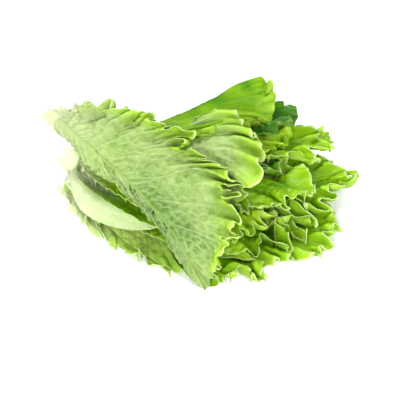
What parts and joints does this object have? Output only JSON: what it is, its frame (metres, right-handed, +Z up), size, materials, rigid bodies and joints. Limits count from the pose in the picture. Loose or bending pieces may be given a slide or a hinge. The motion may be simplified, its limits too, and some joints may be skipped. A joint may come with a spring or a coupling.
{
  "type": "head of lettuce",
  "caption": "Loose-leaf green lettuce head lying on its side: a short pale stem at one end and broad leaves with ruffled margins fanned out on top of each other.",
  "frame": {"origin": "middle of the head's footprint, on the surface it lies on", "axes": "+X from the stem towards the leaf tips, +Y away from the front leaf, +Z up"},
  "size_m": [0.2588, 0.1954, 0.1097],
  "materials": {
    "leaf_green": "fresh leaf, satin with a soft sheen",
    "leaf_outer_pale": "pale waxy underside of a fresh leaf, matt",
    "stem_pale": "cut stem, moist and matt"
  },
  "bodies": {
    "root": {"leaf_01_under_back": "leaf_green", "leaf_02_under_front": "leaf_green", "leaf_03_low_front": "leaf_green", "leaf_04_low_right": "leaf_green", "stem": "stem_pale", "leaf_05_curled_front": "leaf_outer_pale", "leaf_06_mid_front": "leaf_green", "leaf_07_mid_right": "leaf_green", "leaf_08_bright_front": "leaf_green", "leaf_09_middle": "leaf_green", "leaf_10_inner_dark": "leaf_green", "leaf_11_upper_right": "leaf_green", "leaf_12_yellow_edge": "leaf_green", "leaf_13_back_dark": "leaf_green", "leaf_14_light_middle": "leaf_outer_pale", "leaf_15_top_back": "leaf_green", "leaf_16_ragged_left": "leaf_outer_pale", "leaf_17_front_outer": "leaf_outer_pale"}
  },
  "joints": []
}
